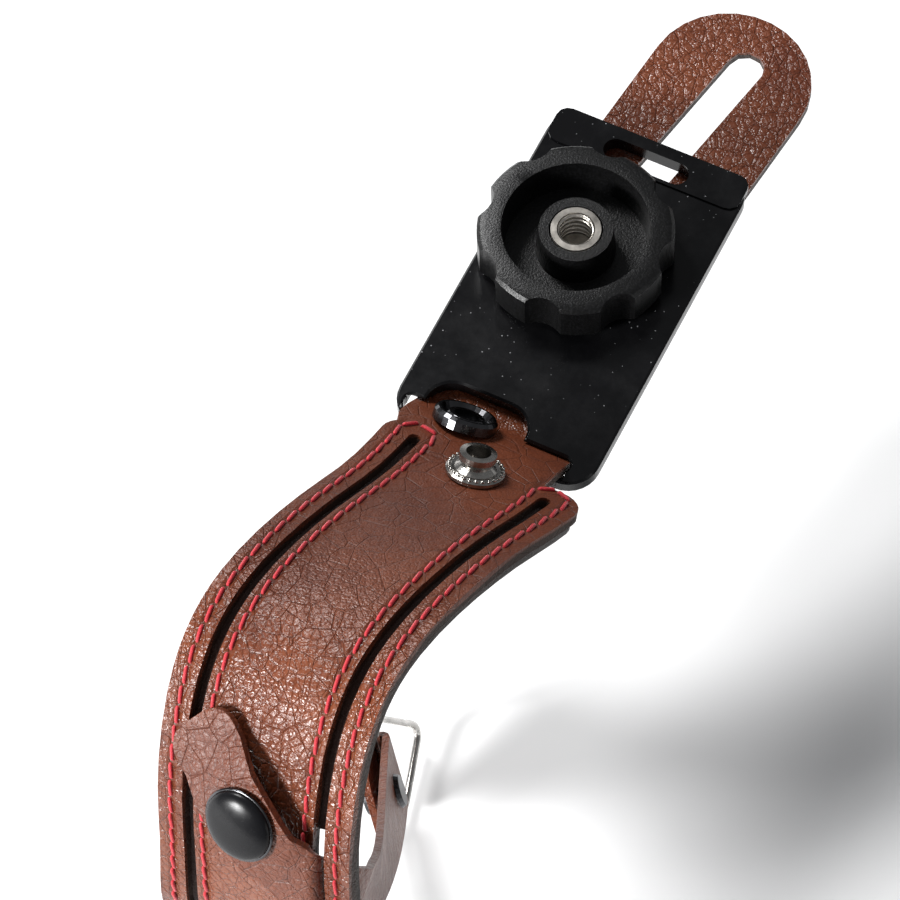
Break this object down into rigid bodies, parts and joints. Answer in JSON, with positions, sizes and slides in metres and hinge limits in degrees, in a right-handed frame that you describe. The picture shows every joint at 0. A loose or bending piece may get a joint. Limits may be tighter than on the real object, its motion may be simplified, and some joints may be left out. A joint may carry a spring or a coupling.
{
  "type": "camera hand grip strap",
  "caption": "Leather camera hand grip: metal base plate with a thumb wheel screw, curved hand panel, belt with snap tab and a triangular lug ring.",
  "frame": {"origin": "under the centre of the base plate, on the flat underside of the leather tongue that lies against the camera's base", "axes": "+Z out of the camera's base towards the thumb wheel, +X along the plate from the tongue's end to the hand panel"},
  "size_m": [0.1973, 0.0464, 0.1074],
  "materials": {
    "brown_leather": "grained",
    "dark_suede": "suede",
    "black_enamel": "gloss",
    "matte_black": "satin",
    "nickel": "bright",
    "dark_nickel": "polished dark",
    "red_thread": "twisted thread"
  },
  "bodies": {
    "strap": {"base_plate": "black_enamel", "outer_leather": "brown_leather", "inner_lining": "dark_suede", "belt_strap": "brown_leather", "near_stud": "dark_nickel", "near_stud_rivet": "dark_nickel", "tongue_socket": "dark_nickel", "tab_cap": "matte_black", "tab_socket": "dark_nickel", "tab_stud": "dark_nickel", "tab_stud_rivet": "dark_nickel", "belt_rivet": "dark_nickel", "left_stitching": "red_thread", "right_stitching": "red_thread"},
    "wheel": {"thumb_wheel": "matte_black", "tripod_insert": "nickel", "camera_screw": "nickel", "screw_clip": "dark_nickel"},
    "ring": {"lug_ring": "nickel"}
  },
  "joints": [
    {"name": "wheel_turn", "type": "hinge", "parent": "strap", "child": "wheel", "pos_m": [-0.0077, -0.003, 0], "axis": [0, 0, 1], "continuous": true},
    {"name": "ring_swing", "type": "hinge", "parent": "strap", "child": "ring", "pos_m": [0.07, -0.004, -0.06], "axis": [-0.3995, -0.4494, 0.799], "range_deg": [-30, 40]}
  ]
}
